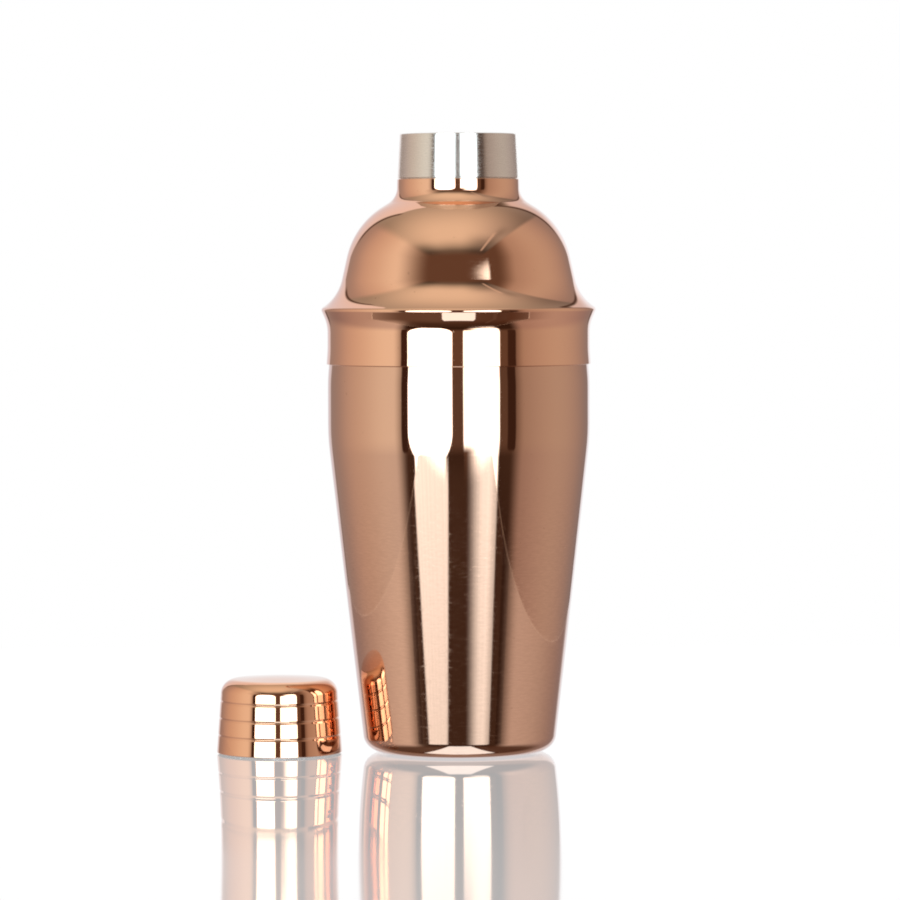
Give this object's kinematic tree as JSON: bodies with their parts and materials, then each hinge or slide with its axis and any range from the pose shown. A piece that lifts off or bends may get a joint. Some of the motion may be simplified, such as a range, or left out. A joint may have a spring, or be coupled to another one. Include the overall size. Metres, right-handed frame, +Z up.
{
  "type": "cocktail shaker set",
  "caption": "Cobbler cocktail shaker in polished copper-plated steel: tapered tumbler, domed strainer top with a bare brushed collar, and a grooved cap standing beside it.",
  "frame": {"origin": "centre of the tumbler's foot, on the table", "axes": "+Z up along the shaker's axis; -Y towards the viewer; the loose cap stands on the -X side"},
  "size_m": [0.1233, 0.089, 0.2],
  "materials": {
    "polished_copper": "polished",
    "brushed_steel": "satin"
  },
  "bodies": {
    "tumbler": {"tumbler": "polished_copper"},
    "strainer_top": {"strainer_top": "polished_copper", "strainer_cup": "brushed_steel"},
    "cap": {"cap": "polished_copper"}
  },
  "joints": [
    {"name": "strainer_top_lift", "type": "slide", "parent": "tumbler", "child": "strainer_top", "axis": [0, 0, 1], "range_m": [0, 0.08]},
    {"name": "cap_lift", "type": "slide", "parent": "tumbler", "child": "cap", "axis": [-0.4985, -0.0383, 0.866], "range_m": [0, 0.12]}
  ]
}
